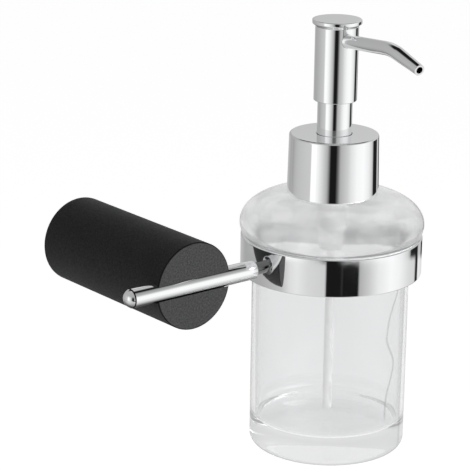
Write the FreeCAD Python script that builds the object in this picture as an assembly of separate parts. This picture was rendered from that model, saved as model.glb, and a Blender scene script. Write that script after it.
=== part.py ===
import FreeCAD, Part
import math
import os

# Wall mounted soap dispenser, in millimetres.
# The origin is the centre of the post's foot on the wall. The wall is the plane y = 0, the post
# stands out of it along -Y, the rod runs along +X to the ring, and +Z is up.

# ---- post and wall bracket ----
POST_R = 18.2
POST_LENGTH = 80.0
POST_EDGE = 0.35
POST_SOCKET_R = 15.8
POST_SOCKET_DEPTH = 12.0
POST_HOLLOW_R = 13.6
POST_WEB = 12.0

BRACKET_R = 15.6
BRACKET_THICK = 9.0
BRACKET_GROOVE_Y = -4.5
BRACKET_GROOVE_HALF = 2.4
BRACKET_GROOVE_DEPTH = 1.4
BRACKET_HOLE_R = 2.25
BRACKET_HOLE_SPACING = 18.0
BRACKET_SIGHT_R = 4.5
BRACKET_SINK_R = 4.2
BRACKET_SINK_DEPTH = 2.0

GRUB_R = 2.0
GRUB_TOP = -14.3
GRUB_POINT = 0.8
GRUB_FOOT = -18.0

# ---- rod across the front of the post ----
ROD_R = 4.0
ROD_Y = -77.2
ROD_LEFT = -29.6
ROD_RIGHT = 32.5
ROD_CHAMFER = 0.3
DOME_HEIGHT = 2.6
SPIGOT_R = 2.5
SPIGOT_LENGTH = 6.0

# ---- screws ----
SCREW_R = 2.0
SCREW_HOLE_R = 2.05
SCREW_CLEARANCE_R = 2.2
SCREW_HEAD_R = 3.5
SCREW_HEAD_HEIGHT = 3.0
HEX_R = 1.6
HEX_DEPTH = 1.6

# ---- ring that carries the bottle ----
AXIS_X = 75.2
AXIS_Y = ROD_Y
RING_R = 38.25
RING_INNER_R = 36.0
RING_HALF = 8.0
RING_EDGE = 0.5
NECK_R = 2.6
LINER_R = 35.9
LINER_INNER_R = 33.6
LINER_FLANGE_R = 36.8
LINER_FLANGE = 0.5

# ---- glass bottle ----
BODY_R = 33.15
BOTTLE_BOTTOM = -85.0
BOTTLE_CORNER = 3.5
FLOOR_Z = -73.0
CAVITY_CORNER = 2.5
WALL = 2.85
FOOT_Z = RING_HALF + LINER_FLANGE
FOOT_R = 37.9
BULGE_R = 38.8
BULGE_Z = 13.0
NECK_OUTER_R = 14.0
NECK_INNER_R = 11.5
NECK_TOP = 40.0

# ---- screw thread of the neck ----
PITCH = 3.0
THREAD_START = 29.0
THREAD_TURNS = 1.5
THREAD_HEIGHT = 1.0
THREAD_WIDTH = 1.5
THREAD_CLEAR = 0.3

# ---- pump core ----
GASKET_THICK = 1.2
FLANGE_R = 13.8
FLANGE_BOTTOM = NECK_TOP + GASKET_THICK
FLANGE_TOP = 43.0
BARREL_R = 6.2
BARREL_BOTTOM = 12.5
TAIL_R = 5.2
TAIL_BOTTOM = -1.0
BORE_R = 4.6
BORE_FLOOR = 13.5
BALL_R = 2.0
BALL_Z = 8.5
SEAT_BOTTOM = 6.6
SEAT_HOLE_R = 1.0
BALL_CAGE_R = 2.35
BALL_CAGE_TOP = 12.3
BALL_LIP_R = 1.7
TUBE_R = 2.0
TUBE_INNER_R = 1.4
TUBE_TOP = 4.5
TUBE_FOOT = -70.5
TUBE_SOCKET_TOP = 5.0
CLOSURE_R = 8.5
CLOSURE_TOP = 48.0
CLOSURE_NECK_R = 5.0
CLOSURE_NECK_TOP = 64.0
CLOSURE_BORE_R = 2.58

# ---- collar ----
COLLAR_BOTTOM = 26.0
COLLAR_TOP = 51.5
COLLAR_BOTTOM_R = 19.2
COLLAR_TOP_R = 18.7
COLLAR_EDGE = 0.9
COLLAR_PLATE = 1.5
COLLAR_INNER_R = 17.6
INSERT_R = 17.5
INSERT_BOTTOM = 27.3
INSERT_BORE_R = 14.35
INSERT_WEB_BOTTOM = 43.1
INSERT_WEB_TOP = 45.0
INSERT_WEB_HOLE_R = 8.8
INSERT_TOP_BORE_R = 11.5
INSERT_TOP = 48.5
SLEEVE_R = 7.25
SLEEVE_INNER_R = 5.6
SLEEVE_TOP = 71.0
SLEEVE_FLANGE_R = 12.0
SLEEVE_HOLE_R = 7.6

# ---- plunger and head ----
ROD_TUBE_R = 2.5
ROD_TUBE_BORE_R = 1.2
ROD_TUBE_TOP = 88.0
PISTON_R = 4.55
PISTON_INNER_R = 2.55
PISTON_BOTTOM = 33.0
PISTON_TOP = 37.5
PISTON_FLANGE_R = 3.8
PISTON_FLANGE = 1.0
SPRING_R = 3.5
SPRING_WIRE_R = 0.35
SPRING_TURNS = 7
HEAD_R = 9.0
HEAD_INNER_R = 7.6
HEAD_BOTTOM = 65.7
HEAD_TOP = 99.6
HEAD_PLATE = 1.2
HEAD_LIP_R = 10.25
HEAD_LIP_SIDE = 1.7
HEAD_LIP_CONE = 1.0
CORE_R = 7.5
CORE_BOTTOM = 84.5

# ---- spout ----
SPOUT_Z = 90.95
SPOUT_TURN = -10.0
SPOUT_RISE = 5.7
SPOUT_DROP = 12.5
SPOUT_START = 3.4
SPOUT_CORNER = 41.9
SPOUT_REACH = 20.2
SPOUT_BEND_R = 32.0
SPOUT_R = 2.8
SPOUT_TIP_R = 2.2
SPOUT_BORE_R = 1.4
SPOUT_HOLE_R = 2.85

X = FreeCAD.Vector(1, 0, 0)
Y = FreeCAD.Vector(0, 1, 0)
Z = FreeCAD.Vector(0, 0, 1)
ORIGIN = FreeCAD.Vector(0, 0, 0)
BOTTLE_AXIS = FreeCAD.Vector(AXIS_X, AXIS_Y, 0)


def vec(x, y, z):
    return FreeCAD.Vector(x, y, z)


def save(shape, node):
    """Write one sub-part as one clean solid."""
    if len(shape.Solids) != 1 or not shape.isValid():
        raise ValueError(f"{node} has {len(shape.Solids)} solids, valid {shape.isValid()}")
    shape.Solids[0].exportStep(f"parts/{node}.step")


def rod_along(axis, radius, start, end):
    """Cylinder along a row axis, from one coordinate to another on that axis."""
    return Part.makeCylinder(radius, end - start, axis * start, axis)


def hex_prism(radius, start, direction, depth):
    """Six-sided socket for an Allen key."""
    corners = [vec(radius * math.cos(k * math.pi / 3), radius * math.sin(k * math.pi / 3), 0)
               for k in range(7)]
    prism = Part.Face(Part.makePolygon(corners)).extrude(Z * depth)
    prism.Placement = FreeCAD.Placement(start, FreeCAD.Rotation(Z, direction))
    return prism


def turned(steps):
    """Solid of revolution about Z from an outline of (radius, height) steps.

    Two numbers are the end of a straight run, and four are a point on an arc and its end.
    """
    points = [vec(step[-2], 0, step[-1]) for step in steps]
    edges = []
    for here, step, there in zip(points, steps[1:] + steps[:1], points[1:] + points[:1]):
        if len(step) == 4:
            edges.append(Part.Arc(here, vec(step[0], 0, step[1]), there).toShape())
        elif here.distanceToPoint(there) > 1e-6:
            edges.append(Part.LineSegment(here, there).toShape())
    return Part.Face(Part.Wire(edges)).revolve(ORIGIN, Z, 360)


def on_bottle_axis(shape):
    """Carry a shape made about Z over to the bottle's axis."""
    moved = shape.copy()
    moved.translate(BOTTLE_AXIS)
    return moved


def tube(inner, outer, bottom, top):
    """Plain ring section about Z."""
    return turned([(inner, bottom), (outer, bottom), (outer, top), (inner, top)])


# ---- wall side ----

def wall_bracket():
    """Disc with a groove round its edge, two countersunk holes and a sight hole between them."""
    near = -BRACKET_GROOVE_Y - BRACKET_GROOVE_HALF
    far = -BRACKET_GROOVE_Y + BRACKET_GROOVE_HALF
    groove_r = BRACKET_R - BRACKET_GROOVE_DEPTH
    disc = turned([
        (0, 0), (BRACKET_R, 0), (BRACKET_R, near), (groove_r, near), (groove_r, far),
        (BRACKET_R, far), (BRACKET_R, BRACKET_THICK - 0.5), (BRACKET_R - 0.5, BRACKET_THICK),
        (0, BRACKET_THICK),
    ])
    disc.rotate(ORIGIN, X, 90)
    for side in (-1, 1):
        foot = vec(0, 0, side * BRACKET_HOLE_SPACING / 2)
        hole = Part.makeCylinder(BRACKET_HOLE_R, BRACKET_THICK, foot, -Y)
        mouth = foot - Y * (BRACKET_THICK - BRACKET_SINK_DEPTH)
        sink = Part.makeCone(BRACKET_HOLE_R, BRACKET_SINK_R, BRACKET_SINK_DEPTH, mouth, -Y)
        disc = disc.cut(hole).cut(sink)
    return disc.cut(Part.makeCylinder(BRACKET_SIGHT_R, BRACKET_THICK, ORIGIN, -Y))


def post_shell():
    """Round post, hollow from the wall side, with the rod's hole across its solid front end.

    The hole lies so near the front that it opens through the face as a slot.
    """
    front = POST_LENGTH
    post = turned([
        (0, front - POST_WEB), (POST_HOLLOW_R, front - POST_WEB),
        (POST_HOLLOW_R, POST_SOCKET_DEPTH), (POST_SOCKET_R, POST_SOCKET_DEPTH),
        (POST_SOCKET_R, 0), (POST_R, 0),
        (POST_R, front - POST_EDGE), (POST_R - POST_EDGE, front), (0, front),
    ])
    post.rotate(ORIGIN, X, 90)
    rod_hole = Part.makeCylinder(ROD_R + 0.05, 2 * POST_R + 2, vec(-POST_R - 1, ROD_Y, 0), X)
    screw_hole = rod_along(Y, SCREW_CLEARANCE_R, ROD_Y, POST_WEB - POST_LENGTH + 1)
    grub_hole = Part.makeCylinder(GRUB_R + 0.05, 5, vec(0, BRACKET_GROOVE_Y, -POST_R - 1), Z)
    return post.cut(rod_hole).cut(screw_hole).cut(grub_hole)


def post_grub_screw():
    """Set screw with a cone point in the bracket's groove."""
    length = GRUB_TOP - GRUB_FOOT
    body = turned([(0, 0), (GRUB_R, 0), (GRUB_R, length - GRUB_POINT),
                   (GRUB_R - GRUB_POINT, length), (0, length)])
    socket = hex_prism(GRUB_R / 2, ORIGIN, Z, HEX_DEPTH)
    screw = body.cut(socket)
    screw.translate(vec(0, BRACKET_GROOVE_Y, GRUB_FOOT))
    return screw


def cross_rod():
    """Chrome rod with a socket for its end cap, a tapped end, and a tapped hole behind."""
    length = ROD_RIGHT - ROD_LEFT
    edge = 0.12
    rod = turned([(0, 0), (ROD_R - edge, 0), (ROD_R, edge), (ROD_R, length - ROD_CHAMFER),
                  (ROD_R - ROD_CHAMFER, length), (0, length)])
    rod.rotate(ORIGIN, Y, 90)
    rod.translate(vec(ROD_LEFT, 0, 0))
    cap_socket = rod_along(X, SPIGOT_R + 0.03, ROD_LEFT, ROD_LEFT + SPIGOT_LENGTH + 0.5)
    ring_tap = rod_along(X, SCREW_HOLE_R, ROD_RIGHT - 10, ROD_RIGHT)
    rod = rod.cut(cap_socket).cut(ring_tap)
    rod.translate(vec(0, ROD_Y, 0))
    fixing_tap = rod_along(Y, SCREW_HOLE_R, ROD_Y - 0.2, ROD_Y + ROD_R + 1)
    return rod.cut(fixing_tap)


def rod_end_cap():
    """Domed cap whose spigot is pressed into the end of the rod."""
    edge = 0.12
    half = DOME_HEIGHT / 2
    dome_r = ROD_R - edge
    sphere_r = (dome_r ** 2 + DOME_HEIGHT ** 2) / (2 * DOME_HEIGHT)
    middle_r = math.sqrt(sphere_r ** 2 - (sphere_r - DOME_HEIGHT + half) ** 2)
    cap = turned([(0, -SPIGOT_LENGTH), (SPIGOT_R, -SPIGOT_LENGTH), (SPIGOT_R, 0), (dome_r, 0),
                  (middle_r, half, 0, DOME_HEIGHT)])
    cap.rotate(ORIGIN, Y, -90)
    cap.translate(vec(ROD_LEFT, ROD_Y, 0))
    return cap


def rod_fixing_screw():
    """Socket screw through the post's web into the back of the rod."""
    seat = POST_WEB - POST_LENGTH
    tip = ROD_Y + 0.3
    shank = rod_along(Y, SCREW_R, tip, seat)
    head = rod_along(Y, SCREW_HEAD_R, seat, seat + SCREW_HEAD_HEIGHT)
    socket = hex_prism(HEX_R, vec(0, seat + SCREW_HEAD_HEIGHT, 0), -Y, HEX_DEPTH)
    return shank.fuse(head).cut(socket).removeSplitter()


# ---- ring ----

def ring_axis_cylinder(radius):
    """Tall cylinder about the bottle's axis, used to trim what meets the ring."""
    return Part.makeCylinder(radius, 4 * RING_HALF, BOTTLE_AXIS - Z * 2 * RING_HALF)


def neck_spacer():
    """Thin neck that holds the ring off the rod's end and fits the ring's curve."""
    reach = AXIS_X - RING_R + 1
    neck = rod_along(X, NECK_R, ROD_RIGHT, reach).cut(rod_along(X, SCREW_HOLE_R, ROD_RIGHT, reach))
    neck.translate(vec(0, ROD_Y, 0))
    return neck.cut(ring_axis_cylinder(RING_R))


def ring_band():
    """Chrome ring with softened edges and a countersunk hole on the rod's side."""
    top = RING_HALF
    ease = RING_EDGE * (1 - math.sqrt(0.5))
    band = turned([
        (RING_INNER_R, -top + ease), (RING_INNER_R + ease, -top), (RING_R - RING_EDGE, -top),
        (RING_R - ease, -top + ease, RING_R, -top + RING_EDGE), (RING_R, top - RING_EDGE),
        (RING_R - ease, top - ease, RING_R - RING_EDGE, top),
        (RING_INNER_R + ease, top), (RING_INNER_R, top - ease),
    ])
    hole = Part.makeCylinder(SCREW_HOLE_R, 5, vec(-RING_R - 1, 0, 0), X)
    sink_depth = SCREW_HEAD_R - SCREW_R
    sink_start = -RING_INNER_R - sink_depth - 0.2
    sink = Part.makeCone(SCREW_R, SCREW_HEAD_R + 1, sink_depth + 1, vec(sink_start, 0, 0), X)
    return on_bottle_axis(band.cut(hole).cut(sink))


def ring_screw():
    """Countersunk screw from inside the ring, through the neck, into the rod."""
    head_face = AXIS_X - RING_INNER_R - 0.1
    cone_length = SCREW_HEAD_R - SCREW_R
    tip = ROD_RIGHT - 8.5
    shank = rod_along(X, SCREW_R, tip, head_face - cone_length)
    cone = Part.makeCone(SCREW_R, SCREW_HEAD_R, cone_length, X * (head_face - cone_length), X)
    socket = hex_prism(HEX_R, X * head_face, -X, 1.2)
    screw = shank.fuse(cone).cut(socket).removeSplitter()
    screw.translate(vec(0, ROD_Y, 0))
    return screw


def ring_liner():
    """Clear lining with a thin flange that the glass shoulder rests on."""
    top = RING_HALF
    liner = turned([
        (LINER_INNER_R, -top + 0.6), (LINER_R, -top + 0.6), (LINER_R, top),
        (LINER_FLANGE_R, top), (LINER_FLANGE_R, top + LINER_FLANGE),
        (LINER_INNER_R + 0.6, top + LINER_FLANGE), (LINER_INNER_R, top - 0.4),
    ])
    return on_bottle_axis(liner)


# ---- bottle ----

def spline(points, start_direction, end_direction):
    """Smooth outline run through (radius, height) points, with its directions at both ends."""
    curve = Part.BSplineCurve()
    curve.interpolate(Points=[vec(r, 0, z) for r, z in points],
                      InitialTangent=vec(start_direction[0], 0, start_direction[1]),
                      FinalTangent=vec(end_direction[0], 0, end_direction[1]))
    return curve.toShape()


def runs(points):
    """Straight outline runs through (radius, height) points."""
    return [Part.LineSegment(vec(a[0], 0, a[1]), vec(b[0], 0, b[1])).toShape()
            for a, b in zip(points, points[1:])]


def quarter(centre, radius, start_degrees):
    """Quarter-circle outline run, anticlockwise."""
    ends = [math.radians(start_degrees + turn) for turn in (0, 45, 90)]
    a, b, c = [vec(centre[0] + radius * math.cos(t), 0, centre[1] + radius * math.sin(t))
               for t in ends]
    return Part.Arc(a, b, c).toShape()


def neck_thread(clearance, start, turns):
    """Right-handed ridge round the neck; with a clearance it is the groove that fits it."""
    root = 0.4 + clearance
    outer = NECK_OUTER_R + THREAD_HEIGHT + clearance
    wide = THREAD_WIDTH / 2 + clearance
    narrow = THREAD_WIDTH / 4 + clearance
    helix = Part.makeHelix(PITCH, PITCH * turns, NECK_OUTER_R)
    corners = [vec(NECK_OUTER_R - root, 0, -wide), vec(outer, 0, -narrow),
               vec(outer, 0, narrow), vec(NECK_OUTER_R - root, 0, wide)]
    profile = Part.makePolygon(corners + corners[:1])
    ridge = Part.Wire(helix.Edges).makePipeShell([profile], True, True)
    ridge.translate(vec(0, 0, start))
    return ridge


def glass_bottle():
    """Straight body with a heavy base, a bulging shoulder that rests on the ring, and a neck."""
    corner = BOTTLE_CORNER
    bottom = BOTTLE_BOTTOM
    hip = FOOT_Z - 1.0
    outer = [Part.Arc(vec(0, 0, bottom + 1.0), vec(13, 0, bottom + 0.75), vec(26, 0, bottom)).toShape()]
    outer += runs([(26, bottom), (BODY_R - corner, bottom)])
    outer += [quarter((BODY_R - corner, bottom + corner), corner, -90)]
    outer += runs([(BODY_R, bottom + corner), (BODY_R, hip), (BODY_R + 1.0, FOOT_Z),
                   (FOOT_R - 0.4, FOOT_Z), (FOOT_R, FOOT_Z + 0.4)])
    outer += [spline([(FOOT_R, FOOT_Z + 0.4), (BULGE_R - 0.25, 10.9), (BULGE_R, BULGE_Z)],
                     (0.2, 1), (0, 1))]
    outer += [spline([(BULGE_R, BULGE_Z), (37.5, 17.3), (33.9, 20.7), (27.0, 24.0), (19.2, 25.6)],
                     (0, 1), (-1, 0.12))]
    outer += runs([(19.2, 25.6), (NECK_OUTER_R + 0.8, 26.2), (NECK_OUTER_R, 27.0),
                   (NECK_OUTER_R, NECK_TOP - 0.6), (NECK_OUTER_R - 0.6, NECK_TOP),
                   (NECK_INNER_R + 0.4, NECK_TOP), (NECK_INNER_R, NECK_TOP - 0.4),
                   (NECK_INNER_R, 25.2)])
    cavity_r = BODY_R - WALL
    cavity_corner = CAVITY_CORNER
    outer += [spline([(NECK_INNER_R, 25.2), (13.0, 23.0), (19.5, 22.1), (27.5, 20.2),
                      (33.2, 16.8), (35.4, 13.0)], (0, -1), (0, -1))]
    outer += [spline([(35.4, 13.0), (34.2, 9.6), (31.4, 6.6), (cavity_r, 2.0)], (0, -1), (0, -1))]
    outer += runs([(cavity_r, 2.0), (cavity_r, FLOOR_Z + cavity_corner)])
    floor_arc = Part.Arc(vec(cavity_r, 0, FLOOR_Z + cavity_corner),
                         vec(cavity_r - cavity_corner * (1 - math.sqrt(0.5)), 0,
                             FLOOR_Z + cavity_corner * (1 - math.sqrt(0.5))),
                         vec(cavity_r - cavity_corner, 0, FLOOR_Z))
    outer += [floor_arc.toShape()]
    outer += runs([(cavity_r - cavity_corner, FLOOR_Z), (0, FLOOR_Z - 0.3), (0, bottom + 1.0)])
    glass = Part.Face(Part.Wire(outer)).revolve(ORIGIN, Z, 360)
    return on_bottle_axis(glass.fuse(neck_thread(0.0, THREAD_START, THREAD_TURNS)))


# ---- pump core ----

def neck_gasket():
    """Soft washer between the neck and the pump's flange."""
    return on_bottle_axis(tube(BARREL_R + 0.3, FLANGE_R, NECK_TOP, NECK_TOP + GASKET_THICK))


def pump_housing():
    """Barrel with a flange, a piston bore, a cage and seat for the ball, and a tube socket."""
    seat_run = BALL_CAGE_R - SEAT_HOLE_R
    housing = turned([
        (BORE_R, FLANGE_TOP), (BORE_R, BORE_FLOOR), (BALL_CAGE_R + 0.6, BORE_FLOOR),
        (BALL_LIP_R, BALL_CAGE_TOP + 0.6), (BALL_LIP_R, BALL_CAGE_TOP),
        (BALL_CAGE_R, BALL_CAGE_TOP), (BALL_CAGE_R, SEAT_BOTTOM + seat_run),
        (SEAT_HOLE_R, SEAT_BOTTOM), (SEAT_HOLE_R, TUBE_SOCKET_TOP),
        (TUBE_R + 0.05, TUBE_SOCKET_TOP), (TUBE_R + 0.05, TAIL_BOTTOM),
        (TAIL_R - 1.2, TAIL_BOTTOM), (TAIL_R, TAIL_BOTTOM + 1.8),
        (TAIL_R, BARREL_BOTTOM - 0.6), (BARREL_R, BARREL_BOTTOM + 0.4),
        (BARREL_R, FLANGE_BOTTOM), (FLANGE_R, FLANGE_BOTTOM), (FLANGE_R, FLANGE_TOP),
    ])
    return on_bottle_axis(housing)


def pump_closure():
    """Bush that closes the barrel and guides the piston rod up into the sleeve."""
    plug_depth = 3.0
    closure = turned([
        (CLOSURE_BORE_R, FLANGE_TOP - plug_depth), (BORE_R - 0.05, FLANGE_TOP - plug_depth),
        (BORE_R - 0.05, FLANGE_TOP), (CLOSURE_R, FLANGE_TOP), (CLOSURE_R, CLOSURE_TOP),
        (CLOSURE_NECK_R, CLOSURE_TOP), (CLOSURE_NECK_R, CLOSURE_NECK_TOP - 0.5),
        (CLOSURE_NECK_R - 0.5, CLOSURE_NECK_TOP), (CLOSURE_BORE_R, CLOSURE_NECK_TOP),
    ])
    return on_bottle_axis(closure)


def inlet_ball():
    """Check ball, resting in the seat at the foot of the barrel."""
    return on_bottle_axis(Part.makeSphere(BALL_R, vec(0, 0, BALL_Z)))


def dip_tube():
    """Thin tube cut off slantwise just above the floor of the bottle."""
    slant = 1.6
    pipe = tube(TUBE_INNER_R, TUBE_R, TUBE_FOOT, TUBE_TOP)
    wedge = Part.makePolygon([vec(-3, 0, TUBE_FOOT - 1), vec(3, 0, TUBE_FOOT - 1),
                              vec(3, 0, TUBE_FOOT + slant), vec(-3, 0, TUBE_FOOT),
                              vec(-3, 0, TUBE_FOOT - 1)])
    cutter = Part.Face(wedge).extrude(Y * 6)
    cutter.translate(Y * -3)
    return on_bottle_axis(pipe.cut(cutter))


# ---- collar ----

def collar_shell():
    """Chrome cover, slightly narrower at its top, with the sleeve's hole in its plate."""
    ease = COLLAR_EDGE * (1 - math.sqrt(0.5))
    shell = turned([
        (COLLAR_INNER_R, COLLAR_BOTTOM), (COLLAR_BOTTOM_R - 0.2, COLLAR_BOTTOM),
        (COLLAR_BOTTOM_R, COLLAR_BOTTOM + 0.2), (COLLAR_TOP_R, COLLAR_TOP - COLLAR_EDGE),
        (COLLAR_TOP_R - ease, COLLAR_TOP - ease, COLLAR_TOP_R - COLLAR_EDGE, COLLAR_TOP),
        (SLEEVE_HOLE_R, COLLAR_TOP), (SLEEVE_HOLE_R, COLLAR_TOP - COLLAR_PLATE),
        (COLLAR_INNER_R, COLLAR_TOP - COLLAR_PLATE),
    ])
    return on_bottle_axis(shell)


def collar_insert():
    """Screw cap that grips the neck's thread and clamps the pump's flange."""
    insert = turned([
        (INSERT_BORE_R, INSERT_BOTTOM), (INSERT_R, INSERT_BOTTOM), (INSERT_R, INSERT_TOP),
        (INSERT_TOP_BORE_R, INSERT_TOP), (INSERT_TOP_BORE_R, INSERT_WEB_TOP),
        (INSERT_WEB_HOLE_R, INSERT_WEB_TOP), (INSERT_WEB_HOLE_R, INSERT_WEB_BOTTOM),
        (INSERT_BORE_R, INSERT_WEB_BOTTOM),
    ])
    groove = neck_thread(THREAD_CLEAR, THREAD_START - PITCH, THREAD_TURNS + 1.12)
    return on_bottle_axis(insert.cut(groove))


def guide_sleeve():
    """Chrome sleeve held under the collar's plate by its flange."""
    plate_bottom = COLLAR_TOP - COLLAR_PLATE
    sleeve = turned([
        (SLEEVE_INNER_R, INSERT_TOP), (SLEEVE_FLANGE_R, INSERT_TOP),
        (SLEEVE_FLANGE_R, plate_bottom), (SLEEVE_R, plate_bottom), (SLEEVE_R, SLEEVE_TOP - 0.4),
        (SLEEVE_R - 0.4, SLEEVE_TOP), (SLEEVE_INNER_R, SLEEVE_TOP),
    ])
    return on_bottle_axis(sleeve)


# ---- plunger ----

def piston_seal():
    """Cup seal with a thin lip above and below."""
    lip = 0.8
    body_r = PISTON_R - 0.35
    seal = turned([
        (PISTON_INNER_R, PISTON_BOTTOM), (PISTON_R, PISTON_BOTTOM),
        (PISTON_R, PISTON_BOTTOM + lip), (body_r, PISTON_BOTTOM + 1.5 * lip),
        (body_r, PISTON_TOP - 1.5 * lip), (PISTON_R, PISTON_TOP - lip), (PISTON_R, PISTON_TOP),
        (PISTON_INNER_R, PISTON_TOP),
    ])
    return on_bottle_axis(seal)


def return_spring():
    """Coil spring between the floor of the bore and the piston rod's foot."""
    gap = 0.1 + SPRING_WIRE_R
    height = PISTON_BOTTOM - PISTON_FLANGE - BORE_FLOOR - 2 * gap
    helix = Part.makeHelix(height / SPRING_TURNS, height, SPRING_R)
    section = Part.Wire(Part.makeCircle(SPRING_WIRE_R, vec(SPRING_R, 0, 0), Y))
    spring = Part.Wire(helix.Edges).makePipeShell([section], True, True)
    spring.translate(vec(0, 0, BORE_FLOOR + gap))
    return on_bottle_axis(spring)


def piston_rod():
    """Hollow rod with a foot under the seal and a side hole above it."""
    foot = PISTON_BOTTOM - PISTON_FLANGE
    rod = turned([
        (ROD_TUBE_BORE_R, foot), (PISTON_FLANGE_R, foot), (PISTON_FLANGE_R, PISTON_BOTTOM - 0.05),
        (ROD_TUBE_R, PISTON_BOTTOM - 0.05), (ROD_TUBE_R, ROD_TUBE_TOP),
        (ROD_TUBE_BORE_R, ROD_TUBE_TOP),
    ])
    return on_bottle_axis(rod)


# ---- head ----

def spout_frame():
    """Start, corner and tip of the spout's centre line, and its unit directions."""
    turn = math.radians(SPOUT_TURN)
    rise = math.radians(SPOUT_RISE)
    drop = math.radians(SPOUT_DROP)
    out = vec(math.sin(turn), -math.cos(turn), 0)
    first = out * math.cos(rise) + Z * math.sin(rise)
    second = out * math.cos(drop) - Z * math.sin(drop)
    start = Z * SPOUT_Z + first * SPOUT_START
    corner = Z * SPOUT_Z + first * SPOUT_CORNER
    tip = corner + second * SPOUT_REACH
    return start, corner, tip, first, second


def swept_arc(radius, begin, middle, end, direction):
    """Round bar along an arc."""
    path = Part.Wire(Part.Arc(begin, middle, end).toShape())
    section = Part.Wire(Part.makeCircle(radius, begin, direction))
    return path.makePipeShell([section], True, True)


def spout_bar(straight_r, tip_r):
    """Straight run, bend and end run of the spout as one solid bar."""
    start, corner, tip, first, second = spout_frame()
    half_turn = first.getAngle(second) / 2
    tangent = SPOUT_BEND_R * math.tan(half_turn)
    bend_start = corner - first * tangent
    bend_end = corner + second * tangent
    inward = (second - first).normalize()
    centre = corner + inward * (SPOUT_BEND_R / math.cos(half_turn))
    middle = centre - inward * SPOUT_BEND_R
    straight = Part.makeCylinder(straight_r, (bend_start - start).Length, start, first)
    bend = swept_arc(straight_r, bend_start, middle, bend_end, first)
    length = (tip - bend_end).Length
    if straight_r == tip_r:
        end = Part.makeCylinder(straight_r, length, bend_end, second)
    else:
        end = Part.makeCone(straight_r, tip_r, length, bend_end, second)
    return straight.fuse([bend, end]).removeSplitter()


def spout_tube():
    """Bent spout, tapering towards its tip, with a round bore."""
    return on_bottle_axis(spout_bar(SPOUT_R, SPOUT_TIP_R).cut(spout_bar(SPOUT_BORE_R, SPOUT_BORE_R)))


def spout_hole(radius):
    """Straight cutter for the spout's seat in the head."""
    start, corner, tip, first, second = spout_frame()
    return Part.makeCylinder(radius, HEAD_R + 2, start - first * 0.05, first)


def head_cap():
    """Chrome push-down head, closed above, with a wider top on a short cone."""
    lip_bottom = HEAD_TOP - HEAD_LIP_SIDE
    cap = turned([
        (HEAD_INNER_R, HEAD_BOTTOM), (HEAD_R - 0.2, HEAD_BOTTOM), (HEAD_R, HEAD_BOTTOM + 0.2),
        (HEAD_R, lip_bottom - HEAD_LIP_CONE), (HEAD_LIP_R, lip_bottom),
        (HEAD_LIP_R, HEAD_TOP - 0.4),
        (HEAD_LIP_R - 0.12, HEAD_TOP - 0.12, HEAD_LIP_R - 0.4, HEAD_TOP),
        (0, HEAD_TOP), (0, HEAD_TOP - HEAD_PLATE), (HEAD_INNER_R, HEAD_TOP - HEAD_PLATE),
    ])
    return on_bottle_axis(cap.cut(spout_hole(SPOUT_HOLE_R)))


def head_insert():
    """Core pressed into the head: it grips the piston rod and leads soap into the spout."""
    core = turned([
        (ROD_TUBE_BORE_R, SPOUT_Z), (ROD_TUBE_BORE_R, ROD_TUBE_TOP),
        (ROD_TUBE_R + 0.02, ROD_TUBE_TOP), (ROD_TUBE_R + 0.02, CORE_BOTTOM),
        (CORE_R, CORE_BOTTOM), (CORE_R, HEAD_TOP - HEAD_PLATE - 0.1),
        (0, HEAD_TOP - HEAD_PLATE - 0.1), (0, SPOUT_Z),
    ])
    start, corner, tip, first, second = spout_frame()
    channel = Part.makeCylinder(ROD_TUBE_BORE_R, SPOUT_START + 1, Z * SPOUT_Z, first)
    return on_bottle_axis(core.cut(spout_hole(SPOUT_HOLE_R)).cut(channel))


NODES = [
    wall_bracket, post_shell, post_grub_screw, cross_rod, rod_end_cap, rod_fixing_screw,
    neck_spacer, ring_band, ring_screw, ring_liner, glass_bottle, neck_gasket, pump_housing,
    pump_closure, inlet_ball, dip_tube, collar_shell, collar_insert, guide_sleeve, piston_seal,
    return_spring, piston_rod, head_cap, head_insert, spout_tube,
]

os.makedirs("parts", exist_ok=True)
for build_node in NODES:
    save(build_node(), build_node.__name__)
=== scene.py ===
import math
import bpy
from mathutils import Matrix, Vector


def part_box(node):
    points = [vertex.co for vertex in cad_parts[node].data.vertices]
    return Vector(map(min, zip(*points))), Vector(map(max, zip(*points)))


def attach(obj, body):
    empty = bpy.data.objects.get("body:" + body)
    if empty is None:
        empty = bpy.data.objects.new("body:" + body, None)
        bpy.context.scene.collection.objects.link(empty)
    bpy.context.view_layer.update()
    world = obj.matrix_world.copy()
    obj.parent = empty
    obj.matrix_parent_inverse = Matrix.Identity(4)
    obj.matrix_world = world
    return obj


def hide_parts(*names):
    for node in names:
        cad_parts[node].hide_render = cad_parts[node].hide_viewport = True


bl_info = {
    "name": "Wall Soap Dispenser",
    "version": (1, 0, 0),
    "blender": (4, 5, 0),
    "location": "View3D > Sidebar > Soap Dispenser",
    "description": "Glass pump bottle in a chrome ring, held by a matt black wall post",
    "category": "Add Mesh",
}

import bmesh
import bpy
from mathutils import Matrix, Vector
from mathutils.geometry import interpolate_bezier

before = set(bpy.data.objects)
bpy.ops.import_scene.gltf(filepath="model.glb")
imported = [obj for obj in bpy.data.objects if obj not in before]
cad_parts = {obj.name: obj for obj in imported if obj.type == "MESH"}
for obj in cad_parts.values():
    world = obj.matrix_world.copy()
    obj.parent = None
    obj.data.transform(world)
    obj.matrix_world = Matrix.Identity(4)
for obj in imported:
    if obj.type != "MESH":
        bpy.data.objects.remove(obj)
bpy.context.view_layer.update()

MM = 0.001
GLASS_SIDES, ROUND_SIDES, INNER_SIDES, TUBE_SIDES, SCREW_SIDES = 192, 160, 96, 64, 48
EASE_STEPS = 4
SAME_PLACE = 0.001 * MM
SMOOTH_ANGLE = math.radians(32)
ALONG_X = (0, math.radians(90), 0)
SCREW_HOLE = 2.05 * MM


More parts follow.
